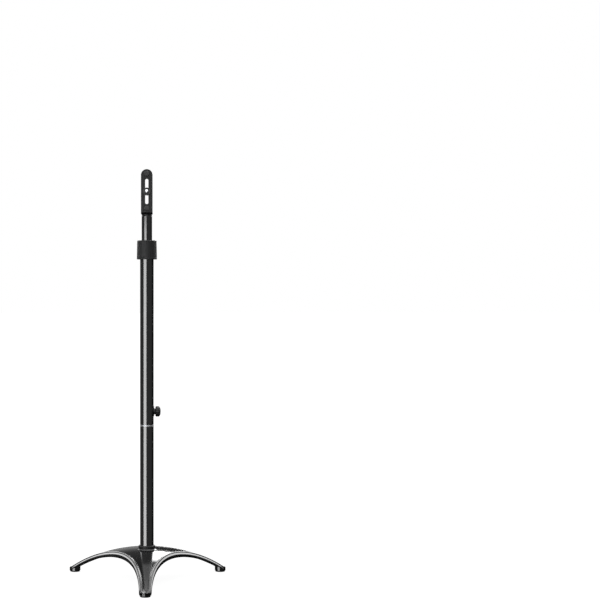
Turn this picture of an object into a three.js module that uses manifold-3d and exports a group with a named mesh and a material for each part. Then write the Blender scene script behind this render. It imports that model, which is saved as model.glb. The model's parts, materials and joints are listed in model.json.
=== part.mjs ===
// Height-adjustable floor stand for a small loudspeaker: an arched three-legged cast base, a two-piece
// outer pole, an inner mast that telescopes in it, a side clamp screw with a hand knob, and a bracket
// on top. Millimetres, +Z up, the floor at z = 0, the front leg towards -Y, the knob towards +X.

import * as THREE from 'three';
import { mergeVertices } from 'three/addons/utils/BufferGeometryUtils.js';
import Module from 'manifold-3d';

const wasm = await Module();
wasm.setup();

// ---------------------------------------------------------------- driving dimensions

const GAP = 0.3; // between two pieces that rest on each other
const SLIP = 0.2; // radial clearance between a sleeve and the tube that it fits

// Sides of a round piece: one that shows, one that is covered, and a small one
const SIDES = 36;
const COVERED_SIDES = 22;
const SMALL_SIDES = 12;

// Base casting: one leg for each name, the first points to the front
const LEG_NAMES = ['front', 'right', 'left'];
const LEG_REACH = 191.8; // pole axis to the outermost point of a leg
const TIP_RADIUS = 12.6; // round end of a leg, seen from above
const WAIST = 62.8; // pole axis to the edge halfway between two legs
const ARCH_APEX = 63.7; // the legs follow a dome: its height on the pole axis
const ARCH_AT_FOOT = 12.5; // and its height over the middle of a foot
const RIM_DEPTH = 10.5; // rim's lower edge, below the dome: on the pole axis
const RIM_DEPTH_AT_FOOT = 6.3; // and over the middle of a foot
const RIM_WALL = 4.6; // thickness of the rim's hanging wall
const SHOULDER = { width: 3.2, height: 3.4 }; // rounded outer edge of the rim
const RIDGE = { width: 3.6, height: 0.9 }; // raised bead along the rim
const GROOVE = { width: 1.1, depth: 0.8 }; // between the bead and the panel
const PANEL_THICKNESS = 3.6;
const SEAT = { radius: 19, rise: 0.7 }; // flat face that the pole stands on
const HUB = { radius: 18, bottom: 46 }; // boss under the middle of the casting
const FOOT_BOSS = { radius: 11.5, inset: 0.7, bottom: 2.6 };

// Feet
const PAD = { radius: 10.3, recess: 1.2, bevel: 0.7, sides: 18 };
const FOOT_SCREW = { radius: 1.7, shank: 5.7, headRadius: 3.4, headHeight: 1.4, sunk: 0.8 };

// Bolt that holds the pole on the base
const BOLT = { radius: 4, flats: 13, head: 5.3, engagement: 15 };
const LOCK_WASHER = { radius: 6.9, thickness: 2, split: 1.2 };
const WASHER = { radius: 12, thickness: 2 };

// Outer pole
const POLE = { radius: 14, wall: 1.2, endRadius: 0.9 };
const LOWER_TUBE_HEIGHT = 252.4;
const FLANGE = { radius: 17.4, height: 6.2, edge: 1.6 };
const POLE_PLUG_HEIGHT = 20; // threaded insert in the foot of the pole
const JOINT_RING_HEIGHT = 2.4;
const COUPLER = { wall: 1.5, below: 28, clearOfHole: 4.9 };

// Inner mast: when it is let down, its foot stops above the pole's plug, and its top stands out of
// the collar. The upper tube is as long as that leaves it.
const MAST = { radius: 10.8, wall: 1.2, height: 660, endRadius: 0.5 };
const MAST_FOOT_ROOM = 4;
const MAST_STANDS_OUT = 50.9;
const MAST_PLUG = { flange: 3, spigot: 14, bore: 3 };
const MAST_CAP = { flange: 3, spigot: 16, edge: 0.6 };

// Collar and guide bush on top of the outer pole
const BUSH = { depth: 36, flange: 3, flangeRadius: 13.8 };
const COLLAR = { topRadius: 20.1, bottomRadius: 20.9, overlap: 30, roof: 5.4, edge: 1.2 };
const COLLAR_BAND = { height: 3.4, groove: 0.35, grooveWidth: 0.9 };

// Clamp screw with its knob
const CLAMP_ABOVE_RING = 27.7; // joint ring to the screw's axis
const CLAMP_BOSS = { radius: 6.3, saddleRadius: 10.4, saddle: 0.8, end: 17.2 };
const CLAMP_PAD = { radius: 4.5, thickness: 2.4, socket: 1.2 };
const STUD = { radius: 3, tipRadius: 1.5, tip: 1, inKnob: 5 };
const KNOB = { radius: 10.8, depth: 10.8, dome: 2.4, edge: 1.6, standoff: 0.5 };
const KNOB_GRIP = { flutes: 14, depth: 0.8 };
const PAD_PRESS_GAP = 0.25;

// Bracket on top of the mast
const BRACKET = { width: 24, thickness: 2.5, height: 92, front: 15, back: 11, bend: 2.5 };
const SLOT = { width: 6.6, height: 52, start: 20 };
const TOP_SCREW = { radius: 3, shank: 16, headRadius: 5.6, headHeight: 3.4, socket: 4 };
const TOP_WASHER = { radius: 7.5, thickness: 1.2 };
const THUMB = { radius: 3, headRadius: 8.5, headDepth: 7, reach: 14, height: 46 };
const THUMB_GRIP = { flutes: 14, depth: 0.7 };
const THUMB_WASHER = { radius: 8, thickness: 1.3 };
const BUMPER = { radius: 5.5, thickness: 1.8, fromEnd: 9 };

// ---------------------------------------------------------------- derived places

const GROOVE_EDGE = SHOULDER.width + RIDGE.width + GROOVE.width; // rim width, up to the panel
const SEAT_TOP = ARCH_APEX + SEAT.rise;
const TIP_CENTRE = LEG_REACH - TIP_RADIUS;
const FOOT_CENTRE = TIP_CENTRE - FOOT_BOSS.inset;
const ARCH_DROP = ARCH_APEX - ARCH_AT_FOOT;
const ARCH_RADIUS = (ARCH_DROP ** 2 + FOOT_CENTRE ** 2) / (2 * ARCH_DROP);
const EDGE_DROP = ARCH_DROP - RIM_DEPTH + RIM_DEPTH_AT_FOOT; // of the rim's lower edge
const EDGE_ARCH_RADIUS = (EDGE_DROP ** 2 + FOOT_CENTRE ** 2) / (2 * EDGE_DROP);
const POLE_BORE = POLE.radius - POLE.wall;
const CLAMP_HOLE = CLAMP_PAD.radius + GAP; // in the tube's wall, for the pad
const MAST_BORE = MAST.radius - MAST.wall;
const BOLT_HOLE = BOLT.radius + GAP;
const FOOT_SCREW_TIP = FOOT_SCREW.sunk + FOOT_SCREW.headHeight + FOOT_SCREW.shank;

const LOWER_BOTTOM = SEAT_TOP + GAP;
const LOWER_TOP = LOWER_BOTTOM + LOWER_TUBE_HEIGHT;
const RING_BOTTOM = LOWER_TOP + GAP;
const RING_TOP = RING_BOTTOM + JOINT_RING_HEIGHT;
const CLAMP_Z = RING_TOP + CLAMP_ABOVE_RING;
const UPPER_BOTTOM = RING_TOP + GAP;
const POLE_PLUG_TOP = LOWER_BOTTOM + POLE_PLUG_HEIGHT;
const MAST_FOOT = POLE_PLUG_TOP + MAST_FOOT_ROOM + MAST_PLUG.flange + GAP;
const MAST_TOP = MAST_FOOT + MAST.height;
const COLLAR_TOP = MAST_TOP - MAST_STANDS_OUT;
const COLLAR_ROOF = COLLAR_TOP - COLLAR.roof;
const BUSH_SEAT = COLLAR_ROOF - GAP - BUSH.flange;
const UPPER_TOP = BUSH_SEAT - GAP;
const CAP_TOP = MAST_TOP + GAP + MAST_CAP.flange;
const BRACKET_FOOT = CAP_TOP + GAP;

const LEG_STEP = (2 * Math.PI) / LEG_NAMES.length;
const legAngle = (index) => -Math.PI / 2 + index * LEG_STEP;

// The bounding box is centred on the origin, so the pole stands a little behind it.
const REARMOST = Math.max(...LEG_NAMES.map((_, leg) => Math.sin(legAngle(leg))));
const POLE_Y = (LEG_REACH - TIP_CENTRE * REARMOST - TIP_RADIUS) / 2;

// ---------------------------------------------------------------- materials

const finish = (color, roughness, metalness) =>
  new THREE.MeshStandardMaterial({ color, roughness, metalness });

const MATERIALS = {
  casting: () => finish(0x101113, 0.18, 0.1),
  tube: () => finish(0x1c1d1f, 0.34, 0.3),
  plastic: () => finish(0x242527, 0.62, 0),
  rubber: () => finish(0x111111, 0.85, 0),
  chrome: () => finish(0xd6d8da, 0.12, 1),
  zinc: () => finish(0x9a9c9e, 0.35, 0.9),
  plate: () => finish(0x17181a, 0.45, 0.3),
};

// ---------------------------------------------------------------- geometry helpers

// Keeps positions only, merges shared vertices and drops the flat triangles at a lathe's poles.
function cleaned(geometry) {
  const bare = geometry.clone();
  for (const name of ['normal', 'uv']) bare.deleteAttribute(name);
  const merged = mergeVertices(bare, 1e-4);
  const index = merged.index.array;
  const kept = [];
  for (let i = 0; i < index.length; i += 3) {
    const [a, b, c] = [index[i], index[i + 1], index[i + 2]];
    if (a !== b && b !== c && c !== a) kept.push(a, b, c);
  }
  merged.setIndex(kept);
  return merged;
}

function signedVolume(geometry) {
  const points = geometry.attributes.position;
  const index = geometry.index.array;
  const [a, b, c] = [new THREE.Vector3(), new THREE.Vector3(), new THREE.Vector3()];
  let volume = 0;
  for (let i = 0; i < index.length; i += 3) {
    a.fromBufferAttribute(points, index[i]);
    b.fromBufferAttribute(points, index[i + 1]);
    c.fromBufferAttribute(points, index[i + 2]);
    volume += a.dot(b.cross(c)) / 6;
  }
  return volume;
}

// A closed geometry with its faces pointing out.
function closed(geometry) {
  const result = cleaned(geometry);
  if (signedVolume(result) < 0) result.index.array.reverse();
  return result;
}

function toSolid(geometry) {
  const mesh = closed(geometry);
  return new wasm.Manifold(
    new wasm.Mesh({
      numProp: 3,
      vertProperties: new Float32Array(mesh.attributes.position.array),
      triVerts: new Uint32Array(mesh.index.array),
    }),
  );
}

function toGeometry(solid) {
  const mesh = solid.getMesh();
  const geometry = new THREE.BufferGeometry();
  geometry.setAttribute('position', new THREE.BufferAttribute(new Float32Array(mesh.vertProperties), 3));
  geometry.setIndex(Array.from(mesh.triVerts));
  return geometry;
}

const joined = (...geometries) =>
  toGeometry(geometries.map(toSolid).reduce((whole, piece) => whole.add(piece)));

const cut = (geometry, ...tools) =>
  toGeometry(tools.map(toSolid).reduce((whole, tool) => whole.subtract(tool), toSolid(geometry)));

const common = (first, second) => toGeometry(toSolid(first).intersect(toSolid(second)));

// Turned piece about +Z. The profile is a list of [radius, height]; it closes on itself, or starts and
// ends on the axis.
function turned(profile, segments = SIDES) {
  const points = profile.map(([r, z]) => new THREE.Vector2(r, z));
  const onAxis = profile[0][0] === 0 && profile.at(-1)[0] === 0;
  if (!onAxis) points.push(points[0].clone());
  return closed(new THREE.LatheGeometry(points, segments).rotateX(Math.PI / 2));
}

// Points of a quarter round in a profile, from one angle to another, ends included.
function round(centreR, centreZ, radius, from, to, steps = 2) {
  const points = [];
  for (let i = 0; i <= steps; i++) {
    const angle = from + ((to - from) * i) / steps;
    points.push([centreR + radius * Math.cos(angle), centreZ + radius * Math.sin(angle)]);
  }
  return points;
}

const rod = (radius, bottom, top, segments = COVERED_SIDES) =>
  turned([[0, bottom], [radius, bottom], [radius, top], [0, top]], segments);

const sleeve = (outer, inner, bottom, top, segments = COVERED_SIDES) =>
  turned([[inner, bottom], [outer, bottom], [outer, top], [inner, top]], segments);

// A sleeve whose outer edges are broken at its bottom and top.
function edgedSleeve(outer, inner, bottom, top, bottomEdge, topEdge, sides = SIDES) {
  return turned([
    [inner, bottom],
    [outer - bottomEdge, bottom],
    [outer, bottom + bottomEdge],
    [outer, top - topEdge],
    [outer - topEdge, top],
    [inner, top],
  ], sides);
}

// Straight prism of a shape drawn in XY, from one height to another.
const prism = (shape, bottom, top, curveSegments = 8) =>
  closed(
    new THREE.ExtrudeGeometry(shape, { depth: top - bottom, bevelEnabled: false, curveSegments }).translate(
      0, 0, bottom,
    ),
  );

// Turns a piece made about +Z so that its axis points along +X.
const alongX = (geometry) => geometry.rotateY(Math.PI / 2);

// Turns a piece made about +Z so that its axis points along -Y, to the front.
const alongFront = (geometry) => geometry.rotateX(Math.PI / 2);

function polygonShape(corners) {
  return new THREE.Shape(corners.map(([x, y]) => new THREE.Vector2(x, y)));
}

// ---------------------------------------------------------------- base casting

// Between two legs the outline is one concave arc, tangent to the round ends of both legs.
const EDGE_RADIUS =
  (WAIST ** 2 + TIP_CENTRE ** 2 - WAIST * TIP_CENTRE - TIP_RADIUS ** 2) /
  (TIP_CENTRE + 2 * TIP_RADIUS - 2 * WAIST);

// Points of the star outline, seen from above, moved inwards by an inset.
function starOutline(inset, edgeSteps = 14, tipSteps = 8) {
  const half = LEG_STEP / 2;
  const edgeCentre = WAIST + EDGE_RADIUS;
  const toEdge = Math.atan2(edgeCentre * Math.sin(half), edgeCentre * Math.cos(half) - TIP_CENTRE);
  const points = [];
  for (let leg = 0; leg < LEG_NAMES.length; leg++) {
    const angle = legAngle(leg);
    const [tipX, tipY] = [TIP_CENTRE * Math.cos(angle), TIP_CENTRE * Math.sin(angle)];
    for (let i = 0; i < tipSteps; i++) {
      const turn = angle + toEdge * (-1 + (2 * i) / tipSteps);
      const radius = TIP_RADIUS - inset;
      points.push([tipX + radius * Math.cos(turn), tipY + radius * Math.sin(turn)]);
    }
    const [edgeX, edgeY] = [edgeCentre * Math.cos(angle + half), edgeCentre * Math.sin(angle + half)];
    const sweep = 2 * (toEdge - half);
    for (let i = 0; i < edgeSteps; i++) {
      const turn = angle + toEdge - Math.PI - (sweep * i) / edgeSteps;
      const radius = EDGE_RADIUS + inset;
      points.push([edgeX + radius * Math.cos(turn), edgeY + radius * Math.sin(turn)]);
    }
  }
  return points;
}

// A plan point carried to the dome, then lifted square to it.
function onDome(x, y, lift) {
  const scale = (ARCH_RADIUS + lift) / ARCH_RADIUS;
  const depth = Math.sqrt(ARCH_RADIUS ** 2 - x * x - y * y);
  return [x * scale, y * scale, ARCH_APEX - ARCH_RADIUS + depth * scale];
}

// A plan point carried to the rim's lower edge, plumb below the shoulder, then raised.
function onLowerEdge(x, y, rise) {
  const scale = (ARCH_RADIUS - SHOULDER.height) / ARCH_RADIUS;
  const [u, v] = [x * scale, y * scale];
  const depth = Math.sqrt(EDGE_ARCH_RADIUS ** 2 - u * u - v * v);
  return [u, v, ARCH_APEX - RIM_DEPTH - EDGE_ARCH_RADIUS + depth + rise];
}

const domeHeight = (radius, lift = 0) =>
  ARCH_APEX - ARCH_RADIUS + Math.sqrt((ARCH_RADIUS + lift) ** 2 - radius ** 2);

// Section of the rim as [inset, lift, carrier]: hanging wall, rounded shoulder, raised bead, groove,
// and a tongue that joins the panel. The wall's lower corners keep to the lower edge.
function rimSection() {
  const { width, height } = SHOULDER;
  const tongue = GROOVE_EDGE + 1.4;
  const section = [[0.6, 0, onLowerEdge], [0, 0.6, onLowerEdge]];
  for (const angle of [0, 30, 60, 90]) {
    const turn = THREE.MathUtils.degToRad(angle);
    section.push([width * (1 - Math.cos(turn)), -height + height * Math.sin(turn)]);
  }
  for (const angle of [135, 90, 45]) {
    const turn = THREE.MathUtils.degToRad(angle);
    const across = width + (RIDGE.width / 2) * (1 + Math.cos(turn));
    section.push([across, RIDGE.height * Math.sin(turn)]);
  }
  section.push([width + RIDGE.width + GROOVE.width / 2, -GROOVE.depth]);
  section.push([tongue, -GROOVE.depth], [tongue, -PANEL_THICKNESS + 0.6]);
  section.push([RIM_WALL, -PANEL_THICKNESS + 0.2], [RIM_WALL, 0, onLowerEdge]);
  return section;
}

// Closed loft through one ring of points for each corner of the rim's section.
function rimGeometry() {
  const rings = rimSection().map(([inset, lift, carried = onDome]) =>
    starOutline(inset).map(([x, y]) => carried(x, y, lift)),
  );
  const count = rings[0].length;
  const index = [];
  for (let r = 0; r < rings.length; r++) {
    const next = (r + 1) % rings.length;
    for (let i = 0; i < count; i++) {
      const j = (i + 1) % count;
      const [a, b, c, d] = [r * count + i, r * count + j, next * count + j, next * count + i];
      index.push(a, b, c, a, c, d);
    }
  }
  const geometry = new THREE.BufferGeometry();
  geometry.setAttribute('position', new THREE.Float32BufferAttribute(rings.flat(2), 3));
  geometry.setIndex(index);
  return closed(geometry);
}

// Domed plate between two lifts, out to a radius.
function domeShell(top, bottom, radius, rings = 9, segments = SIDES) {
  const upper = [];
  const lower = [];
  for (let i = 0; i <= rings; i++) {
    const r = (radius * i) / rings;
    upper.push([r, domeHeight(r, top)]);
    lower.unshift([r, domeHeight(r, bottom)]);
  }
  return turned([...upper, ...lower], segments);
}

function panelGeometry() {
  const outline = polygonShape(starOutline(GROOVE_EDGE));
  return common(domeShell(0, -PANEL_THICKNESS, LEG_REACH), prism(outline, 0, ARCH_APEX + 1));
}

// Foot bosses hang from the panel and stop at the height of the pad's seat.
function footBosses() {
  const under = domeShell(-PANEL_THICKNESS / 2, -ARCH_APEX, LEG_REACH);
  const { radius, bottom } = FOOT_BOSS;
  const edge = 1.4;
  const boss = turned([
    [0, bottom],
    ...round(radius - edge, bottom + edge, edge, -Math.PI / 2, 0),
    [radius, ARCH_APEX],
    [0, ARCH_APEX],
  ], COVERED_SIDES);
  return LEG_NAMES.map((_, leg) => {
    const angle = legAngle(leg);
    const [x, y] = [FOOT_CENTRE * Math.cos(angle), FOOT_CENTRE * Math.sin(angle)];
    return common(boss.clone().translate(x, y, 0), under);
  });
}

function legPlaced(geometry, leg) {
  return geometry.rotateZ(legAngle(leg) + Math.PI / 2);
}

function baseCasting() {
  const hub = turned([
    [0, HUB.bottom],
    [HUB.radius - 1, HUB.bottom],
    [HUB.radius, HUB.bottom + 1],
    [HUB.radius + 2, ARCH_APEX - PANEL_THICKNESS / 2],
    [SEAT.radius, SEAT_TOP - 0.6],
    [SEAT.radius - 0.6, SEAT_TOP],
    [0, SEAT_TOP],
  ]);
  const body = joined(rimGeometry(), panelGeometry(), hub, ...footBosses());
  const floorCut = rod(LEG_REACH + TIP_RADIUS, -ARCH_APEX, FOOT_BOSS.bottom);
  const recesses = LEG_NAMES.map((_, leg) => {
    const pocketTop = FOOT_BOSS.bottom + PAD.recess;
    const pocket = joined(
      rod(PAD.radius + GAP, 0, pocketTop),
      rod(FOOT_SCREW.radius + GAP, 1, FOOT_SCREW_TIP + 1, SMALL_SIDES),
    );
    return legPlaced(pocket.translate(0, -FOOT_CENTRE, 0), leg);
  });
  return cut(body, floorCut, rod(BOLT_HOLE, 0, SEAT_TOP + 1), ...recesses);
}

// ---------------------------------------------------------------- feet

function footPad() {
  const top = FOOT_BOSS.bottom + PAD.recess - GAP;
  const hole = FOOT_SCREW.radius + GAP;
  const headHole = FOOT_SCREW.headRadius + GAP;
  const shelf = FOOT_SCREW.sunk + FOOT_SCREW.headHeight + GAP;
  const pad = turned([
    [hole, shelf],
    [headHole, shelf],
    [headHole, 0],
    [PAD.radius - PAD.bevel, 0],
    [PAD.radius, PAD.bevel],
    [PAD.radius, top],
    [hole, top],
  ], PAD.sides);
  return pad.translate(0, -FOOT_CENTRE, 0);
}

function footScrew() {
  const { radius, headRadius, headHeight, sunk } = FOOT_SCREW;
  const screw = turned([
    [0, sunk],
    [headRadius, sunk],
    [headRadius, sunk + headHeight],
    [radius, sunk + headHeight],
    [radius, FOOT_SCREW_TIP - 1],
    [radius * 0.4, FOOT_SCREW_TIP],
    [0, FOOT_SCREW_TIP],
  ], SMALL_SIDES);
  return screw.translate(0, -FOOT_CENTRE, 0);
}

// ---------------------------------------------------------------- bolt under the base

const WASHER_TOP = HUB.bottom - GAP;
const LOCK_TOP = WASHER_TOP - WASHER.thickness - GAP;
const HEAD_TOP = LOCK_TOP - LOCK_WASHER.thickness - GAP;

function hexagon(flats) {
  const corner = flats / Math.sqrt(3);
  const corners = [...Array(6).keys()].map((i) => (i * Math.PI) / 3);
  return polygonShape(corners.map((a) => [corner * Math.cos(a), corner * Math.sin(a)]));
}

function baseBolt() {
  const tip = LOWER_BOTTOM + BOLT.engagement;
  const shank = turned([
    [0, HEAD_TOP - BOLT.head / 2],
    [BOLT.radius, HEAD_TOP - BOLT.head / 2],
    [BOLT.radius, tip - 1],
    [BOLT.radius - 1, tip],
    [0, tip],
  ], SMALL_SIDES);
  const chamfer = turned([
    [0, HEAD_TOP - BOLT.head],
    [BOLT.flats / 2 - 0.4, HEAD_TOP - BOLT.head],
    [BOLT.flats / 2 + 1.2, HEAD_TOP - BOLT.head + 1],
    [BOLT.flats / 2 + 1.2, HEAD_TOP],
    [0, HEAD_TOP],
  ], SMALL_SIDES);
  const head = common(prism(hexagon(BOLT.flats), HEAD_TOP - BOLT.head, HEAD_TOP), chamfer);
  return joined(head, shank);
}

function lockWasher() {
  const ring = sleeve(LOCK_WASHER.radius, BOLT_HOLE, LOCK_TOP - LOCK_WASHER.thickness, LOCK_TOP);
  const split = new THREE.BoxGeometry(LOCK_WASHER.radius, LOCK_WASHER.split, 2 * LOCK_WASHER.thickness);
  split.translate(LOCK_WASHER.radius / 2 + 2, 0, LOCK_TOP - LOCK_WASHER.thickness / 2);
  return cut(ring, split.rotateZ(0.5));
}

const baseWasher = () => sleeve(WASHER.radius, BOLT_HOLE, WASHER_TOP - WASHER.thickness, WASHER_TOP);

// ---------------------------------------------------------------- outer pole

function baseFlange() {
  const { radius, height, edge } = FLANGE;
  const inner = POLE.radius + GAP;
  return turned([
    [inner, LOWER_BOTTOM],
    [radius - 0.4, LOWER_BOTTOM],
    [radius, LOWER_BOTTOM + 0.4],
    ...round(radius - edge, LOWER_BOTTOM + height - edge, edge, 0, Math.PI / 2),
    [inner, LOWER_BOTTOM + height],
  ]);
}

const polePlug = () =>
  edgedSleeve(POLE_BORE - SLIP, BOLT_HOLE, LOWER_BOTTOM, POLE_PLUG_TOP, 0.8, 0.8, COVERED_SIDES);

// A tube whose wall is rounded in at the end that meets the joint ring.
function poleTube(plainEnd, jointEnd) {
  const inwards = Math.sign(plainEnd - jointEnd) * POLE.endRadius;
  return turned([
    [POLE_BORE, plainEnd],
    [POLE.radius, plainEnd],
    [POLE.radius, jointEnd + inwards],
    [POLE.radius - POLE.endRadius, jointEnd],
    [POLE_BORE, jointEnd],
  ]);
}

const lowerTube = () => poleTube(LOWER_BOTTOM, LOWER_TOP);

function upperTube() {
  const tube = poleTube(UPPER_TOP, UPPER_BOTTOM);
  const hole = alongX(rod(CLAMP_HOLE, 0, POLE.radius + 5, SMALL_SIDES));
  return cut(tube, hole.translate(0, 0, CLAMP_Z));
}

// Sleeve inside the joint of the two outer tubes. It ends short of the clamp's hole.
function tubeCoupler() {
  const outer = POLE_BORE - SLIP;
  const top = CLAMP_Z - CLAMP_HOLE - COUPLER.clearOfHole;
  return sleeve(outer, outer - COUPLER.wall, RING_BOTTOM - COUPLER.below, top, SIDES);
}

const jointRing = () => sleeve(POLE.radius, POLE_BORE - SLIP + GAP, RING_BOTTOM, RING_TOP, SIDES);

function guideBush() {
  const outer = POLE_BORE - SLIP;
  const inner = MAST.radius + SLIP;
  return turned([
    [inner, UPPER_TOP - BUSH.depth],
    [outer, UPPER_TOP - BUSH.depth],
    [outer, BUSH_SEAT],
    [BUSH.flangeRadius, BUSH_SEAT],
    [BUSH.flangeRadius, BUSH_SEAT + BUSH.flange],
    [inner, BUSH_SEAT + BUSH.flange],
  ]);
}

// The collar widens downwards and has a band, set off by a fine groove, at each end.
function collar() {
  const { topRadius, bottomRadius, overlap, edge } = COLLAR;
  const { height, groove, grooveWidth } = COLLAR_BAND;
  const bottom = UPPER_TOP - overlap;
  const top = COLLAR_TOP;
  const side = (z) => bottomRadius + ((topRadius - bottomRadius) * (z - bottom)) / (top - bottom);
  const grooveAt = (z) => [
    [side(z), z],
    [side(z) - groove, z + grooveWidth / 2],
    [side(z + grooveWidth), z + grooveWidth],
  ];
  return turned([
    [POLE.radius + GAP, bottom],
    [bottomRadius - edge / 2, bottom],
    [side(bottom + edge / 2), bottom + edge / 2],
    ...grooveAt(bottom + height),
    ...grooveAt(top - height - grooveWidth),
    ...round(side(top - edge) - edge, top - edge, edge, 0, Math.PI / 2),
    [MAST.radius + GAP, top],
    [MAST.radius + GAP, COLLAR_ROOF],
    [POLE.radius + GAP, COLLAR_ROOF],
  ]);
}

// ---------------------------------------------------------------- inner mast

const innerTube = () =>
  edgedSleeve(MAST.radius, MAST_BORE, MAST_FOOT, MAST_TOP, MAST.endRadius, MAST.endRadius);

function mastEndPlug() {
  const seat = MAST_FOOT - GAP;
  return turned([
    [MAST_PLUG.bore, seat - MAST_PLUG.flange],
    [MAST.radius - 1, seat - MAST_PLUG.flange],
    [MAST.radius, seat - MAST_PLUG.flange + 1],
    [MAST.radius, seat],
    [MAST_BORE - SLIP, seat],
    [MAST_BORE - SLIP, seat + MAST_PLUG.spigot],
    [MAST_PLUG.bore, seat + MAST_PLUG.spigot],
  ], COVERED_SIDES);
}

function mastCap() {
  const seat = MAST_TOP + GAP;
  const bore = TOP_SCREW.radius + GAP;
  return turned([
    [bore, seat - MAST_CAP.spigot],
    [MAST_BORE - SLIP, seat - MAST_CAP.spigot],
    [MAST_BORE - SLIP, seat],
    [MAST.radius, seat],
    [MAST.radius, CAP_TOP - MAST_CAP.edge],
    [MAST.radius - MAST_CAP.edge, CAP_TOP],
    [bore, CAP_TOP],
  ], COVERED_SIDES);
}

// ---------------------------------------------------------------- clamp screw and knob

const CLAMP_PAD_FACE = MAST.radius + PAD_PRESS_GAP;
const CLAMP_PAD_BACK = CLAMP_PAD_FACE + CLAMP_PAD.thickness;
const STUD_SHOULDER = CLAMP_PAD_BACK + GAP;
const KNOB_BACK = CLAMP_BOSS.end + KNOB.standoff;

// Boss welded to the pole: a thin saddle that hugs the tube, and a short neck with the thread.
function clampBoss() {
  const seat = POLE.radius + GAP;
  const { radius, saddleRadius, saddle, end } = CLAMP_BOSS;
  const shell = sleeve(seat + saddle, seat, -saddleRadius - 1, saddleRadius + 1, SIDES);
  const plate = common(shell, alongX(rod(saddleRadius, 0, end)));
  const neck = alongX(turned([
    [0, seat - 4],
    [radius, seat - 4],
    [radius, end - 0.6],
    [radius - 0.6, end],
    [0, end],
  ], COVERED_SIDES));
  const whole = joined(plate, neck);
  const pole = rod(seat, -saddleRadius - 2, saddleRadius + 2, SIDES);
  const padRoom = alongX(rod(CLAMP_HOLE, 0, CLAMP_PAD_BACK + 1.6, SMALL_SIDES));
  const thread = alongX(rod(STUD.radius + GAP, 0, end + 1, SMALL_SIDES));
  return cut(whole, pole, padRoom, thread).translate(0, 0, CLAMP_Z);
}

// The pad's face is hollowed to the round of the mast.
function clampPad() {
  const back = CLAMP_PAD_BACK;
  const socket = STUD.tipRadius + GAP;
  const disc = alongX(turned([
    [0, CLAMP_PAD_FACE - 2],
    [CLAMP_PAD.radius, CLAMP_PAD_FACE - 2],
    [CLAMP_PAD.radius, back],
    [socket, back],
    [socket, back - CLAMP_PAD.socket],
    [0, back - CLAMP_PAD.socket],
  ], SMALL_SIDES));
  const mast = rod(CLAMP_PAD_FACE, -CLAMP_PAD.radius - 1, CLAMP_PAD.radius + 1, SIDES);
  return cut(disc, mast).translate(0, 0, CLAMP_Z);
}

function lockStud() {
  const tip = STUD_SHOULDER - STUD.tip;
  return alongX(turned([
    [0, tip],
    [STUD.tipRadius, tip],
    [STUD.tipRadius, STUD_SHOULDER],
    [STUD.radius - 0.5, STUD_SHOULDER],
    [STUD.radius, STUD_SHOULDER + 0.5],
    [STUD.radius, KNOB_BACK + STUD.inKnob],
    [0, KNOB_BACK + STUD.inKnob],
  ], SMALL_SIDES)).translate(0, 0, CLAMP_Z);
}

// Round outline with shallow flutes, for the knob and the thumb screw.
function flutedShape(radius, { flutes, depth }, steps = 4) {
  const points = [];
  for (let i = 0; i < flutes * steps; i++) {
    const wave = Math.cos((2 * Math.PI * i) / steps);
    const angle = (2 * Math.PI * i) / (flutes * steps);
    const r = radius - (depth * (1 - wave)) / 2;
    points.push([r * Math.cos(angle), r * Math.sin(angle)]);
  }
  return polygonShape(points);
}

function lockKnob() {
  const { radius, depth, dome, edge } = KNOB;
  const front = KNOB_BACK + depth;
  const envelope = turned([
    [0, KNOB_BACK],
    [radius - edge / 2, KNOB_BACK],
    [radius, KNOB_BACK + edge / 2],
    ...round(radius - edge, front - dome - edge, edge, 0, Math.PI / 3),
    [radius * 0.62, front - dome * 0.42],
    [radius * 0.34, front - dome * 0.1],
    [0, front],
  ]);
  const grip = prism(flutedShape(radius, KNOB_GRIP), KNOB_BACK - 1, front + 1);
  const socket = rod(STUD.radius + GAP, KNOB_BACK - 1, KNOB_BACK + STUD.inKnob + GAP, SMALL_SIDES);
  return alongX(cut(common(grip, envelope), socket)).translate(0, 0, CLAMP_Z);
}

// ---------------------------------------------------------------- bracket

const UPRIGHT_FRONT = -BRACKET.front;
const UPRIGHT_BACK = UPRIGHT_FRONT + BRACKET.thickness;
const BRACKET_TOP = BRACKET_FOOT + BRACKET.height;
const THUMB_Z = BRACKET_FOOT + THUMB.height;

// Side view of the folded strip, as [y, z]: a foot on the mast, a bend, and the upright at the front.
function bracketProfile() {
  const { thickness, back, bend } = BRACKET;
  const outer = bend + thickness;
  const points = [[back, BRACKET_FOOT]];
  for (const angle of [270, 247.5, 225, 202.5, 180]) {
    const turn = THREE.MathUtils.degToRad(angle);
    const [y, z] = [UPRIGHT_FRONT + outer, BRACKET_FOOT + outer];
    points.push([y + outer * Math.cos(turn), z + outer * Math.sin(turn)]);
  }
  points.push([UPRIGHT_FRONT, BRACKET_TOP], [UPRIGHT_BACK, BRACKET_TOP]);
  for (const angle of [180, 202.5, 225, 247.5, 270]) {
    const turn = THREE.MathUtils.degToRad(angle);
    const [y, z] = [UPRIGHT_BACK + bend, BRACKET_FOOT + outer];
    points.push([y + bend * Math.cos(turn), z + bend * Math.sin(turn)]);
  }
  points.push([back, BRACKET_FOOT + thickness]);
  return points;
}

// An upright oval or a plate with a round top, as a cutting tool that runs from front to back.
function frontTool(shape, thickness) {
  return alongFront(prism(shape, -thickness / 2, thickness / 2, 10));
}

function slotShape(width, bottom, top) {
  const shape = new THREE.Shape();
  shape.absarc(0, top - width / 2, width / 2, 0, Math.PI);
  shape.absarc(0, bottom + width / 2, width / 2, Math.PI, 2 * Math.PI);
  return shape;
}

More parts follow.
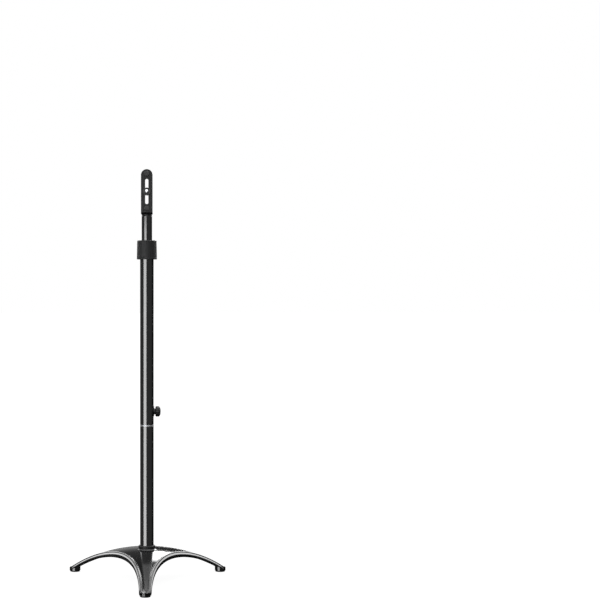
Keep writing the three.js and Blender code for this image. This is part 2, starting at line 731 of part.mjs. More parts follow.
function speakerBracket() {
  const half = BRACKET.width / 2;
  const strip = prism(polygonShape(bracketProfile()), -half, half);
  // The strip's drawing axes x, y, z become the stand's y, z, x.
  const turn = new THREE.Matrix4().set(0, 0, 1, 0, 1, 0, 0, 0, 0, 1, 0, 0, 0, 0, 0, 1);
  const folded = closed(strip.applyMatrix4(turn));
  const front = frontTool(slotShape(BRACKET.width, BRACKET_FOOT - half, BRACKET_TOP), 4 * BRACKET.front);
  const slotBottom = BRACKET_FOOT + SLOT.start;
  const slot = frontTool(slotShape(SLOT.width, slotBottom, slotBottom + SLOT.height), 4 * BRACKET.front);
  const hole = rod(TOP_SCREW.radius + GAP, BRACKET_FOOT - 2, BRACKET_FOOT + 2 * BRACKET.thickness);
  return cut(common(folded, front), slot, hole);
}

const FOOT_TOP = BRACKET_FOOT + BRACKET.thickness;

function topWasher() {
  const bottom = FOOT_TOP + GAP;
  return sleeve(TOP_WASHER.radius, TOP_SCREW.radius + GAP, bottom, bottom + TOP_WASHER.thickness);
}

// Round-headed screw with a hexagon socket, down through the bracket into the cap.
function topScrew() {
  const under = FOOT_TOP + TOP_WASHER.thickness + 2 * GAP;
  const { radius, shank, headRadius, headHeight, socket } = TOP_SCREW;
  const body = turned([
    [0, under - shank],
    [radius - 0.6, under - shank],
    [radius, under - shank + 0.6],
    [radius, under],
    [headRadius, under],
    [headRadius, under + headHeight * 0.35],
    [headRadius * 0.82, under + headHeight * 0.8],
    [headRadius * 0.5, under + headHeight],
    [0, under + headHeight],
  ], COVERED_SIDES);
  return cut(body, prism(hexagon(socket), under + headHeight * 0.4, under + headHeight + 1));
}

// Bumpers stick to the upright's front face, above and below its slot.
function bumper(z) {
  const pad = turned([
    [0, 0],
    [BUMPER.radius, 0],
    [BUMPER.radius, BUMPER.thickness - 0.5],
    [BUMPER.radius - 0.5, BUMPER.thickness],
    [0, BUMPER.thickness],
  ], COVERED_SIDES);
  return alongFront(pad).translate(0, UPRIGHT_FRONT - GAP, z);
}

const thumbWasher = (y) =>
  alongFront(sleeve(THUMB_WASHER.radius, THUMB.radius + GAP, 0, THUMB_WASHER.thickness))
    .translate(0, y, THUMB_Z);

// Knurled screw behind the upright: its thread comes out at the front, for the loudspeaker's insert.
function thumbScrew() {
  const seat = UPRIGHT_BACK + THUMB_WASHER.thickness + 2 * GAP;
  const { radius, headRadius, headDepth, reach } = THUMB;
  const tip = -UPRIGHT_FRONT + reach;
  const thread = turned([
    [0, -seat - 1],
    [radius, -seat - 1],
    [radius, tip - 0.8],
    [radius - 0.8, tip],
    [0, tip],
  ], SMALL_SIDES);
  const grip = prism(flutedShape(headRadius, THUMB_GRIP), -seat - headDepth, -seat);
  const envelope = turned([
    [0, -seat - headDepth],
    [headRadius - 1, -seat - headDepth],
    [headRadius, -seat - headDepth + 1],
    [headRadius, -seat - 0.8],
    [headRadius - 0.8, -seat],
    [0, -seat],
  ], COVERED_SIDES);
  return alongFront(joined(common(grip, envelope), thread)).translate(0, 0, THUMB_Z);
}

// ---------------------------------------------------------------- assembly

function node(name, material, geometry) {
  const mesh = new THREE.Mesh(geometry, MATERIALS[material]());
  mesh.name = name;
  return mesh;
}

function base() {
  const group = new THREE.Group();
  group.add(
    node('base_casting', 'casting', baseCasting()),
    node('base_washer', 'zinc', baseWasher()),
    node('base_lock_washer', 'zinc', lockWasher()),
    node('base_bolt', 'zinc', baseBolt()),
    node('base_flange', 'plastic', baseFlange()),
  );
  LEG_NAMES.forEach((name, leg) => {
    group.add(node(`foot_pad_${name}`, 'rubber', legPlaced(footPad(), leg)));
    group.add(node(`foot_screw_${name}`, 'zinc', legPlaced(footScrew(), leg)));
  });
  return group;
}

function outerPole() {
  const group = new THREE.Group();
  group.add(
    node('pole_plug', 'zinc', polePlug()),
    node('lower_tube', 'tube', lowerTube()),
    node('tube_coupler', 'zinc', tubeCoupler()),
    node('joint_ring', 'chrome', jointRing()),
    node('upper_tube', 'tube', upperTube()),
    node('clamp_boss', 'tube', clampBoss()),
    node('guide_bush', 'plastic', guideBush()),
    node('collar', 'plastic', collar()),
  );
  return group;
}

function mast() {
  const group = new THREE.Group();
  group.add(
    node('inner_tube', 'tube', innerTube()),
    node('mast_end_plug', 'plastic', mastEndPlug()),
    node('mast_cap', 'plastic', mastCap()),
    node('bracket_screw', 'zinc', topScrew()),
    node('bracket_washer', 'zinc', topWasher()),
  );
  return group;
}

function clamp() {
  const group = new THREE.Group();
  group.add(
    node('clamp_pad', 'plastic', clampPad()),
    node('lock_stud', 'zinc', lockStud()),
    node('lock_knob', 'plastic', lockKnob()),
  );
  return group;
}

function bracket() {
  const group = new THREE.Group();
  group.add(
    node('speaker_bracket', 'plate', speakerBracket()),
    node('bumper_lower', 'rubber', bumper(BRACKET_FOOT + BUMPER.fromEnd + BRACKET.bend)),
    node('bumper_upper', 'rubber', bumper(BRACKET_TOP - BUMPER.fromEnd)),
    node('thumb_washer_rear', 'zinc', thumbWasher(UPRIGHT_BACK + THUMB_WASHER.thickness + GAP)),
    node('thumb_washer_front', 'rubber', thumbWasher(UPRIGHT_FRONT - GAP)),
    node('thumb_screw', 'zinc', thumbScrew()),
  );
  return group;
}

const stand = new THREE.Group();
stand.add(base(), outerPole(), mast(), clamp(), bracket());
stand.position.y = POLE_Y;
stand.updateMatrixWorld(true);

export default stand;
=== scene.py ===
import json
import math

import bmesh
import bpy
from mathutils import Matrix, Vector


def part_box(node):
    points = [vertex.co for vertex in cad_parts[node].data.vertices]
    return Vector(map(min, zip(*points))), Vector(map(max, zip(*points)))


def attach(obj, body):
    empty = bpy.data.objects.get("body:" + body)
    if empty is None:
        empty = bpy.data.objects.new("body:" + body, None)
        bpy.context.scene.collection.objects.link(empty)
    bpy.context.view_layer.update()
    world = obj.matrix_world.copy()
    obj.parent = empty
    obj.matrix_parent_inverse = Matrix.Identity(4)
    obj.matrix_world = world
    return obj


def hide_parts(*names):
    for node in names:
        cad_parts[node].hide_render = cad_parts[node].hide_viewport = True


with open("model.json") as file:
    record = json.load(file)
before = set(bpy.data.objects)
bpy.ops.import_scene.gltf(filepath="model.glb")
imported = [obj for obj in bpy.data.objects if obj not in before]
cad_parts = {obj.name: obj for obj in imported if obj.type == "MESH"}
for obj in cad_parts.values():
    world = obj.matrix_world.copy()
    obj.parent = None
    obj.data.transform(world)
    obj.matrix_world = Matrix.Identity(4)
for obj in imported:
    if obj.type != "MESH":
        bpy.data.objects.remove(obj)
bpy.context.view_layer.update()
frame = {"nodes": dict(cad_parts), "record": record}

# Looks of a height-adjustable floor stand. Drawing sizes are in millimetres and become metres when
# a mesh is made. The pole's axis is the origin of every turned piece.
MM = 0.001
NODES = frame["nodes"]

low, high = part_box("lower_tube")
POLE_X = (low.x + high.x) / 2
POLE_Y = (low.y + high.y) / 2

# ---------------------------------------------------------------- sizes of the base casting

LEGS = 3
LEG_REACH = 191.8  # pole's axis to the outermost point of a leg
TIP_RADIUS = 12.6  # round end of a leg, seen from above
WAIST = 62.8  # pole's axis to the edge halfway between two legs
ARCH_APEX = 63.7  # the panel follows a dome: its height on the pole's axis
ARCH_AT_FOOT = 12.5  # and over the middle of a foot
RIM_DEPTH, RIM_DEPTH_AT_FOOT = 10.5, 6.3  # rim's lower edge, below the dome
RIM_WALL = 4.6
SHOULDER_WIDTH, SHOULDER_HEIGHT = 3.2, 3.4  # rim's outer edge; lower down its wall hangs plumb
SHOULDER_DROP = 5.2  # from the dome down to where the rounding of the shoulder starts
SHOULDER_SWEEP = math.pi / 3
RIDGE_WIDTH, RIDGE_HEIGHT = 3.6, 1.4
RIDGE_START = SHOULDER_WIDTH + 0.3
RIDGE_FOOT, RIDGE_INNER_FOOT = 1.0, 0.25  # how far the bead's two feet lie below the dome
GROOVE_WIDTH, GROOVE_DEPTH = 1.1, 0.8
# Shares of the groove's width and depth, from the bead to the panel.
GROOVE_SHAPE = ((0.0, 0.35), (0.12, 0.72), (0.35, 0.95), (0.65, 0.95), (0.88, 0.72), (1.0, 0.25))
PANEL_THICKNESS = 3.6
SEAT_RADIUS, SEAT_RISE = 19.0, 0.7
HUB_RADIUS, HUB_BOTTOM = 18.0, 46.0
BOLT_HOLE = 4.3
FOOT_RADIUS, FOOT_INSET, FOOT_BOTTOM = 11.5, 0.7, 2.6
FOOT_BOSS_SIDE = 9.0  # the boss is straight up to this height, then runs into the panel
PAD_RADIUS, PAD_RECESS = 10.3, 1.2
PAD_HOLE, PAD_POCKET, PAD_POCKET_DEPTH = 2.0, 3.7, 2.5
GAP = 0.3

TIP_CENTRE = LEG_REACH - TIP_RADIUS
FOOT_CENTRE = TIP_CENTRE - FOOT_INSET
ARCH_DROP = ARCH_APEX - ARCH_AT_FOOT
ARCH_RADIUS = (ARCH_DROP ** 2 + FOOT_CENTRE ** 2) / (2 * ARCH_DROP)
EDGE_DROP = ARCH_DROP - RIM_DEPTH + RIM_DEPTH_AT_FOOT
EDGE_ARCH_RADIUS = (EDGE_DROP ** 2 + FOOT_CENTRE ** 2) / (2 * EDGE_DROP)
EDGE_RADIUS = (WAIST ** 2 + TIP_CENTRE ** 2 - WAIST * TIP_CENTRE - TIP_RADIUS ** 2) / (
    TIP_CENTRE + 2 * TIP_RADIUS - 2 * WAIST
)
PANEL_EDGE = SHOULDER_WIDTH + RIDGE_WIDTH + GROOVE_WIDTH
PANEL_START = PANEL_EDGE + 0.4
PANEL_UNDER_START = RIM_WALL + 1.6
HALF_STEP = math.pi / LEGS
LEG_ANGLES = [-math.pi / 2 + 2 * HALF_STEP * leg for leg in range(LEGS)]

# ---------------------------------------------------------------- sizes of the other pieces

TUBE_WALL = 1.2
RING_WALL = 1.1
SCREW_BORE = 3.3  # clear of an M6 screw
COLLAR_TAPER, COLLAR_ROOF = 0.8, 5.4
BAND_HEIGHT, BAND_GROOVE, BAND_GROOVE_WIDTH = 3.4, 0.35, 0.9
CAP_FLANGE = 3.0
BOSS_RADIUS, SADDLE_RADIUS, SADDLE_THICKNESS = 6.3, 10.4, 0.8
FLUTES, FLUTE_DEPTH = 14, 0.8
THUMB_FLUTE_DEPTH, THUMB_HEAD_DEPTH = 0.7, 7.0
THREAD_RADIUS, THREAD_CORE, THREAD_PITCH, THREAD_DEPTH = 3.0, 2.5, 1.0, 0.5
PLATE, BEND = 2.5, 2.5
PLATE_CORNER = 2.0
SLOT_WIDTH, SLOT_START, SLOT_HEIGHT = 6.6, 20.0, 52.0

# ---------------------------------------------------------------- mesh helpers

WELD = 0.0005
ON_AXIS = 0.01  # radius at which a closed end stops, a hair from the axis
BEVEL_ANGLE = 40.0  # an edge that turns by more is rounded


def make_piece(name, verts, faces, body, slot, stands_for=(), sharp=32.0):
    """A smooth-shaded mesh object in metres from millimetre points about the pole's axis."""
    mesh = bpy.data.meshes.new(name)
    points = [(POLE_X + x * MM, POLE_Y + y * MM, z * MM) for x, y, z in verts]
    mesh.from_pydata(points, [], faces)
    bm = bmesh.new()
    bm.from_mesh(mesh)
    bmesh.ops.remove_doubles(bm, verts=bm.verts, dist=WELD * MM)
    bmesh.ops.dissolve_degenerate(bm, edges=bm.edges, dist=WELD * MM)
    bmesh.ops.recalc_face_normals(bm, faces=bm.faces)
    for face in bm.faces:
        face.smooth = True
    for edge in bm.edges:
        edge.smooth = edge.calc_face_angle(0.0) < math.radians(sharp)
    bm.to_mesh(mesh)
    bm.free()
    piece = bpy.data.objects.new(name, mesh)
    bpy.context.scene.collection.objects.link(piece)
    mesh.materials.append(MATERIALS[slot])
    normals = piece.modifiers.new("normals", "WEIGHTED_NORMAL")
    normals.keep_sharp = True
    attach(piece, body)
    if stands_for:
        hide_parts(*stands_for)
    return piece


def add_bevel(piece, width, segments):
    """Rounds a piece's sharp edges by a width in millimetres."""
    bevel = piece.modifiers.new("edges", "BEVEL")
    bevel.width = width * MM
    bevel.segments = segments
    bevel.limit_method = "ANGLE"
    bevel.angle_limit = math.radians(BEVEL_ANGLE)
    bevel.harden_normals = True


def filleted(corners, steps=5, closed=True):
    """Profile through corners given as (radius, height, fillet), with a true arc at each fillet."""
    count = len(corners)
    points = []
    for i, (r, z, fillet) in enumerate(corners):
        end = not closed and i in (0, count - 1)
        if fillet <= 0 or end:
            points.append((r, z))
            continue
        corner = Vector((r, z))
        back = Vector(corners[i - 1][:2]) - corner
        ahead = Vector(corners[(i + 1) % count][:2]) - corner
        half = back.angle(ahead) / 2
        reach = min(fillet / math.tan(half), 0.49 * back.length, 0.49 * ahead.length)
        radius = reach * math.tan(half)
        inwards = (back.normalized() + ahead.normalized()).normalized()
        middle = corner + inwards * radius / math.sin(half)
        first = corner + back.normalized() * reach - middle
        last = corner + ahead.normalized() * reach - middle
        turn = first.angle_signed(last)
        for k in range(steps + 1):
            spoke = first.copy()
            spoke.rotate(Matrix.Rotation(-turn * k / steps, 2))
            points.append(tuple(middle + spoke))
    return points


def revolve(profile, segments, closed=True):
    """Turns a profile of (radius, height) about the Z axis into vertices and faces."""
    verts, faces = [], []
    count = len(profile)
    for k in range(segments):
        turn = 2 * math.pi * k / segments
        c, s = math.cos(turn), math.sin(turn)
        verts += [(r * c, r * s, z) for r, z in profile]
    for k in range(segments):
        here, there = k * count, (k + 1) % segments * count
        for i in range(count if closed else count - 1):
            j = (i + 1) % count
            faces.append((here + i, there + i, there + j, here + j))
    return verts, faces


def sleeve(inner, outer, bottom, top, fillets, segments=128, steps=5):
    """Turned tube or ring. The fillets go round from the inner bottom edge by the outside."""
    edges = ((inner, bottom), (outer, bottom), (outer, top), (inner, top))
    corners = [(*edge, fillet) for edge, fillet in zip(edges, fillets)]
    return revolve(filleted(corners, steps), segments)


def merged(*parts):
    """Several (verts, faces) lists as one."""
    verts, faces = [], []
    for part_verts, part_faces in parts:
        start = len(verts)
        verts += part_verts
        faces += [tuple(start + i for i in face) for face in part_faces]
    return verts, faces


def mapped(part, move):
    verts, faces = part
    return [move(*v) for v in verts], faces


def loft(rings):
    """Faces between rings of points, each ring a closed loop with as many points."""
    count = len(rings[0])
    verts = [point for ring in rings for point in ring]
    faces = []
    for a in range(len(rings) - 1):
        b = a + 1
        for i in range(count):
            j = (i + 1) % count
            faces.append((a * count + i, a * count + j, b * count + j, b * count + i))
    return verts, faces


def fluted(outline, depth, fade, power, steps):
    """Turned form about +Z with a grip's flutes. fade(radius) is the share of their full depth."""
    segments = FLUTES * steps
    rings = []
    for radius, height in outline:
        ring = []
        for k in range(segments):
            turn = 2 * math.pi * k / segments
            wave = 0.5 - 0.5 * math.cos(FLUTES * turn)
            r = radius - depth * fade(radius) * wave ** power
            ring.append((r * math.cos(turn), r * math.sin(turn), height))
        rings.append(ring)
    return loft(rings)


def clamped(value):
    return max(0.0, min(1.0, value))


def arc(x, y, radius, first, last, steps):
    """Points of an arc about (x, y) between two angles, both ends included."""
    turns = [first + (last - first) * k / steps for k in range(steps + 1)]
    return [(x + radius * math.cos(turn), y + radius * math.sin(turn)) for turn in turns]


# ---------------------------------------------------------------- materials

MATERIALS = {}
NOISE_LOW, NOISE_HIGH = 0.3, 0.7  # most of a noise texture's values lie between these
TINT_SCALE, ROUGH_SCALE = 60.0, 90.0
EVEN = (1, 1, 1)


def node_of(tree, kind, **values):
    node = tree.nodes.new(kind)
    for key, value in values.items():
        if key in node.inputs:
            node.inputs[key].default_value = value
        else:
            setattr(node, key, value)
    return node


def wire(tree, *links):
    for start, end in links:
        tree.links.new(start, end)


def ranged(tree, source, first, last, first_value, last_value):
    """A value that lies between first and last, spread between two others."""
    limits = {"From Min": first, "From Max": last, "To Min": first_value, "To Max": last_value}
    spread = node_of(tree, "ShaderNodeMapRange", **limits)
    wire(tree, (source, spread.inputs["Value"]))
    return spread.outputs["Result"]


def tinted(tree, source, first, second):
    """A noise between two colours."""
    ramp = tree.nodes.new("ShaderNodeValToRGB")
    elements = ramp.color_ramp.elements
    for element, position, colour in zip(elements, (NOISE_LOW, NOISE_HIGH), (first, second)):
        element.position = position
        element.color = (*colour, 1)
    wire(tree, (source, ramp.inputs["Fac"]))
    return ramp.outputs["Color"]


def noise(tree, scale, stretch):
    """Noise in the object's own metres: its grains are about 1/scale metres across."""
    place = tree.nodes.new("ShaderNodeTexCoord")
    mapping = node_of(tree, "ShaderNodeMapping", Scale=stretch)
    texture = node_of(tree, "ShaderNodeTexNoise", Scale=scale, Detail=3.0)
    wire(tree, (place.outputs["Object"], mapping.inputs["Vector"]),
         (mapping.outputs["Vector"], texture.inputs["Vector"]))
    return texture.outputs["Fac"]


def surface(slot, dark, light, rough, bumps, metallic=0.0, specular=0.5, tint_scale=TINT_SCALE,
            stretch=EVEN):
    """A procedural finish. bumps is a list of (scale, height in metres, strength)."""
    material = bpy.data.materials.new(slot)
    material.use_nodes = True
    tree = material.node_tree
    shader = tree.nodes["Principled BSDF"]
    shader.inputs["Metallic"].default_value = metallic
    shader.inputs["Specular IOR Level"].default_value = specular
    tint = tinted(tree, noise(tree, tint_scale, stretch), dark, light)
    roughness = ranged(tree, noise(tree, ROUGH_SCALE, stretch), NOISE_LOW, NOISE_HIGH, *rough)
    wire(tree, (tint, shader.inputs["Base Color"]), (roughness, shader.inputs["Roughness"]))
    normal = None
    for scale, depth, strength in bumps:
        bump = node_of(tree, "ShaderNodeBump", Strength=strength, Distance=depth)
        wire(tree, (noise(tree, scale, stretch), bump.inputs["Height"]))
        if normal:
            wire(tree, (normal, bump.inputs["Normal"]))
        normal = bump.outputs["Normal"]
    wire(tree, (normal, shader.inputs["Normal"]))
    MATERIALS[slot] = material


surface("casting_gloss", (0.0050, 0.0052, 0.0055), (0.0078, 0.0081, 0.0085), (0.07, 0.11),
        [(60, 0.0003, 0.012), (700, 0.00003, 0.02)], specular=0.5)
surface("tube_black", (0.0045, 0.0048, 0.0050), (0.0070, 0.0073, 0.0076), (0.11, 0.14),
        [(900, 0.00002, 0.03)], specular=0.8)
surface("plastic_matte", (0.0090, 0.0093, 0.0098), (0.0135, 0.0139, 0.0145), (0.46, 0.56),
        [(2600, 0.00005, 0.35), (700, 0.00005, 0.10)], specular=0.14)
surface("knob_plastic", (0.0060, 0.0062, 0.0065), (0.0100, 0.0103, 0.0107), (0.42, 0.54),
        [(2200, 0.00004, 0.20)], specular=0.12)
surface("pad_rubber", (0.014, 0.014, 0.014), (0.022, 0.022, 0.022), (0.70, 0.86),
        [(1800, 0.00006, 0.40)], specular=0.3)
surface("ring_chrome", (0.24, 0.25, 0.26), (0.30, 0.31, 0.32), (0.34, 0.44),
        [(900, 0.00002, 0.05)], metallic=0.6, stretch=(1, 1, 14))
surface("zinc_steel", (0.46, 0.47, 0.49), (0.60, 0.61, 0.62), (0.28, 0.44),
        [(1200, 0.00004, 0.15)], metallic=1.0, tint_scale=200.0)
surface("plate_black", (0.0075, 0.0078, 0.0080), (0.0115, 0.0118, 0.0120), (0.34, 0.46),
        [(2400, 0.00005, 0.30), (600, 0.00006, 0.12)], specular=0.18)

# ---------------------------------------------------------------- base casting

NO_FLOOR = -1e9
SHOULDER_STEPS, RIDGE_STEPS = 10, 18
TIP_STEPS, EDGE_STEPS, PANEL_ROWS = 16, 44, 22
SPINE_POWER = 1.15  # turns a share of the edge into a share of the leg's spine
IN_PANEL = -1.0  # in the boss's profile, stands for a height halfway through the panel


def dome_height(radius):
    return ARCH_APEX - ARCH_RADIUS + math.sqrt(ARCH_RADIUS ** 2 - radius ** 2)


def on_dome(x, y, lift, floor=NO_FLOOR):
    """A plan point carried to the dome, then lifted square to it."""
    scale = (ARCH_RADIUS + lift) / ARCH_RADIUS
    depth = math.sqrt(ARCH_RADIUS ** 2 - x * x - y * y)
    return x * scale, y * scale, max(ARCH_APEX - ARCH_RADIUS + depth * scale, floor)


def on_shoulder(x, y, lift, floor):
    """As on_dome, but straight down from where the rim's wall hangs plumb."""
    below = min(lift + SHOULDER_HEIGHT, 0.0)
    u, v, z = on_dome(x, y, lift - below)
    return u, v, max(z + below, floor)


def on_lower_edge(x, y, rise, floor):
    """A plan point carried to the rim's lower edge, plumb below the shoulder, then raised."""
    scale = (ARCH_RADIUS - SHOULDER_HEIGHT) / ARCH_RADIUS
    u, v = x * scale, y * scale
    depth = math.sqrt(EDGE_ARCH_RADIUS ** 2 - u * u - v * v)
    return u, v, max(ARCH_APEX - RIM_DEPTH - EDGE_ARCH_RADIUS + depth + rise, floor)


def star_loop(inset):
    """Plan points of the outline moved inwards, each with its point on the leg's spine."""
    edge_centre = WAIST + EDGE_RADIUS
    cx, cy = edge_centre * math.cos(HALF_STEP), edge_centre * math.sin(HALF_STEP)
    to_edge = math.atan2(cy, cx - TIP_CENTRE)
    half = []
    for i in range(TIP_STEPS):
        turn = to_edge * i / TIP_STEPS
        radius = TIP_RADIUS - inset
        half.append((TIP_CENTRE + radius * math.cos(turn), radius * math.sin(turn), 1.0))
    for i in range(EDGE_STEPS + 1):
        turn = to_edge - math.pi - (to_edge - HALF_STEP) * i / EDGE_STEPS
        radius = EDGE_RADIUS + inset
        along = 1 - i / EDGE_STEPS
        half.append((cx + radius * math.cos(turn), cy + radius * math.sin(turn), along))
    one_leg = [(u, -v, along) for u, v, along in reversed(half[1:])] + half[:-1]
    loop = []
    for angle in LEG_ANGLES:
        c, s = math.cos(angle), math.sin(angle)
        for u, v, along in one_leg:
            spine = TIP_CENTRE * along ** SPINE_POWER
            loop.append(((u * c - v * s, u * s + v * c), (spine * c, spine * s)))
    return loop


def star_rings(places, carried):
    """Rings round the outline, one for each (inset, lift)."""
    return [[carried(x, y, lift, FOOT_BOTTOM) for (x, y), _ in star_loop(inset)]
            for inset, lift in places]


def rim_section():
    """Outside of the rim above its hanging wall, up to the panel, as (inset, lift)."""
    section = [(0, -SHOULDER_DROP - 0.3)]
    for k in range(SHOULDER_STEPS + 1):
        turn = SHOULDER_SWEEP * k / SHOULDER_STEPS
        inwards = (1 - math.cos(turn)) / (1 - math.cos(SHOULDER_SWEEP))
        climb = math.sin(turn) / math.sin(SHOULDER_SWEEP)
        section.append((RIDGE_START * inwards,
                        -SHOULDER_DROP + (SHOULDER_DROP - RIDGE_FOOT) * climb))
    ridge_end = SHOULDER_WIDTH + RIDGE_WIDTH
    half_width = (ridge_end - RIDGE_START) / 2
    for k in range(1, RIDGE_STEPS):
        turn = math.pi * (1 - k / RIDGE_STEPS)
        foot = -RIDGE_FOOT if k < RIDGE_STEPS / 2 else -RIDGE_INNER_FOOT
        section.append((RIDGE_START + half_width * (1 + math.cos(turn)),
                        foot + (RIDGE_HEIGHT - foot) * math.sin(turn)))
    section += [(ridge_end + GROOVE_WIDTH * across, -GROOVE_DEPTH * depth)
                for across, depth in GROOVE_SHAPE]
    return section + [(PANEL_EDGE + 0.12, -0.06), (PANEL_START, 0.0)]


def panel_rings(inset, lift):
    """Rings from the outline at an inset to the spines of the legs."""
    loop = star_loop(inset)
    rings = []
    for k in range(1, PANEL_ROWS + 1):
        share = k / PANEL_ROWS
        rings.append([on_dome(x + (sx - x) * share, y + (sy - y) * share, lift, FOOT_BOTTOM)
                      for (x, y), (sx, sy) in loop])
    return rings


def foot_boss(angle):
    """Round boss under the end of a leg, up into the panel, with a shallow seat for its pad."""
    inner = PAD_RADIUS + GAP
    seat = FOOT_BOTTOM + PAD_RECESS
    profile = filleted([
        (ON_AXIS, seat, 0), (inner, seat, 0.2), (inner, FOOT_BOTTOM, 0.25),
        (FOOT_RADIUS, FOOT_BOTTOM, 1.4), (FOOT_RADIUS, FOOT_BOSS_SIDE, 0)], 6, closed=False)
    verts, faces = revolve(profile + [(FOOT_RADIUS, IN_PANEL)], 72, closed=False)
    cx, cy = FOOT_CENTRE * math.cos(angle), FOOT_CENTRE * math.sin(angle)
    placed = []
    for x, y, z in verts:
        px, py = cx + x, cy + y
        if z == IN_PANEL:
            z = dome_height(math.hypot(px, py)) - PANEL_THICKNESS / 2
        placed.append((px, py, z))
    return placed, faces


def base_shell():
    """Rim and panel from above, the same from below, the hub with the pole's seat, the bosses."""
    top = star_rings([(0.9, 0.0), (0.35, 0.15), (0.08, 0.5), (0.0, 1.2)], on_lower_edge)
    top += star_rings(rim_section(), on_shoulder)
    top += panel_rings(PANEL_START, 0.0)
    under = star_rings([(0.9, 0.0), (RIM_WALL - 0.8, 0.0), (RIM_WALL - 0.2, 0.3), (RIM_WALL, 0.9)],
                       on_lower_edge)
    under += star_rings([(RIM_WALL + 0.05, -PANEL_THICKNESS - 1.2),
                         (RIM_WALL + 0.5, -PANEL_THICKNESS - 0.45),
                         (PANEL_UNDER_START, -PANEL_THICKNESS)], on_dome)
    under += panel_rings(PANEL_UNDER_START, -PANEL_THICKNESS)
    seat_top = ARCH_APEX + SEAT_RISE
    hub = revolve(filleted([
        (BOLT_HOLE, HUB_BOTTOM, 0.4),
        (HUB_RADIUS, HUB_BOTTOM, 1.2),
        (HUB_RADIUS + 1.4, dome_height(HUB_RADIUS + 2) - PANEL_THICKNESS, 0),
        (SEAT_RADIUS + 4.5, dome_height(SEAT_RADIUS + 4.5) - 0.6, 0),
        (SEAT_RADIUS + 2.6, dome_height(SEAT_RADIUS + 2.6) + 0.05, 0),
        (SEAT_RADIUS + 0.5, dome_height(SEAT_RADIUS + 0.5) + 0.2, 0.4),
        (SEAT_RADIUS, seat_top, 0.5),
        (BOLT_HOLE, seat_top, 0.2)]), 96)
    return merged(loft(top), loft(under), hub, *[foot_boss(angle) for angle in LEG_ANGLES])


make_piece("base_body", *base_shell(), "stand", "casting_gloss", ["base_casting"], sharp=40)

# ---------------------------------------------------------------- turned pieces on the pole's axis


def span(node):
    """Outer radius, bottom and top of a node turned about the pole's axis, in millimetres."""
    lo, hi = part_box(node)
    return (hi.x - lo.x) / 2 / MM, lo.z / MM, hi.z / MM


tube_radius, lower_bottom, lower_top = span("lower_tube")
_, upper_bottom, upper_top = span("upper_tube")
mast_radius, mast_bottom, mast_top = span("inner_tube")
tube_bore = tube_radius - TUBE_WALL

make_piece("lower_pole",
           *sleeve(tube_bore, tube_radius, lower_bottom, lower_top, (0, 0.2, 1.1, 0)),
           "stand", "tube_black", ["lower_tube"])
make_piece("upper_pole",
           *sleeve(tube_bore, tube_radius, upper_bottom, upper_top, (0, 1.1, 0.2, 0)),
           "stand", "tube_black", ["upper_tube"])
make_piece("mast_tube",
           *sleeve(mast_radius - TUBE_WALL, mast_radius, mast_bottom, mast_top,
                   (0.2, 0.5, 0.5, 0.2), 112),
           "mast", "tube_black", ["inner_tube"])

ring_radius, ring_bottom, ring_top = span("joint_ring")
make_piece("pole_ring",
           *sleeve(ring_radius - RING_WALL, ring_radius, ring_bottom, ring_top,
                   (0, 0.35, 0.35, 0)),
           "stand", "ring_chrome", ["joint_ring"])

flange_radius, flange_bottom, flange_top = span("base_flange")
make_piece("foot_flange",
           *sleeve(tube_radius + GAP, flange_radius, flange_bottom, flange_top,
                   (0, 0.5, 1.7, 0.4), 112, 8),
           "stand", "knob_plastic", ["base_flange"])


def collar_profile():
    """Tapered sleeve with a band marked off by a groove at each end, and a roof over the pole."""
    bottom_radius, bottom, top = span("collar")
    outside, mast_hole = tube_radius + GAP, mast_radius + GAP

    def side(z):
        return bottom_radius - COLLAR_TAPER * (z - bottom) / (top - bottom)

    corners = [(outside, bottom, 0.3), (bottom_radius, bottom, 0.9)]
    for z in (bottom + BAND_HEIGHT, top - BAND_HEIGHT - BAND_GROOVE_WIDTH):
        floor = side(z) - BAND_GROOVE
        end = z + BAND_GROOVE_WIDTH
        corners += [(side(z), z, 0.15), (floor, z + BAND_GROOVE_WIDTH * 0.35, 0.2),
                    (floor, z + BAND_GROOVE_WIDTH * 0.65, 0.2), (side(end), end, 0.15)]
    corners += [(side(top), top, 1.3), (mast_hole, top, 0.5),
                (mast_hole, top - COLLAR_ROOF, 0), (outside, top - COLLAR_ROOF, 0)]
    return filleted(corners, 6)


make_piece("collar_sleeve", *revolve(collar_profile(), 128), "stand", "plastic_matte", ["collar"])

cap_radius, cap_bottom, cap_top = span("mast_cap")
spigot_radius, cap_seat = cap_radius - TUBE_WALL - 0.2, cap_top - CAP_FLANGE
make_piece("mast_end_cap", *revolve(filleted([
    (SCREW_BORE, cap_bottom, 0.2), (spigot_radius, cap_bottom, 0.8), (spigot_radius, cap_seat, 0),
    (cap_radius, cap_seat, 0.3), (cap_radius, cap_top, 0.8), (SCREW_BORE, cap_top, 0.3)]), 96),
    "mast", "plastic_matte", ["mast_cap"])

# ---------------------------------------------------------------- clamp boss, knob

lo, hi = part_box("lock_knob")
KNOB_Z = (lo.z + hi.z) / 2 / MM
KNOB_BACK, KNOB_FRONT = (lo.x - POLE_X) / MM, (hi.x - POLE_X) / MM
KNOB_RADIUS = (hi.z - lo.z) / 2 / MM
BOSS_END = (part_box("clamp_boss")[1].x - POLE_X) / MM


def along_x(x, y, z):
    """Turns a piece made about +Z so that its axis is the clamp screw's."""
    return z, x, KNOB_Z + y


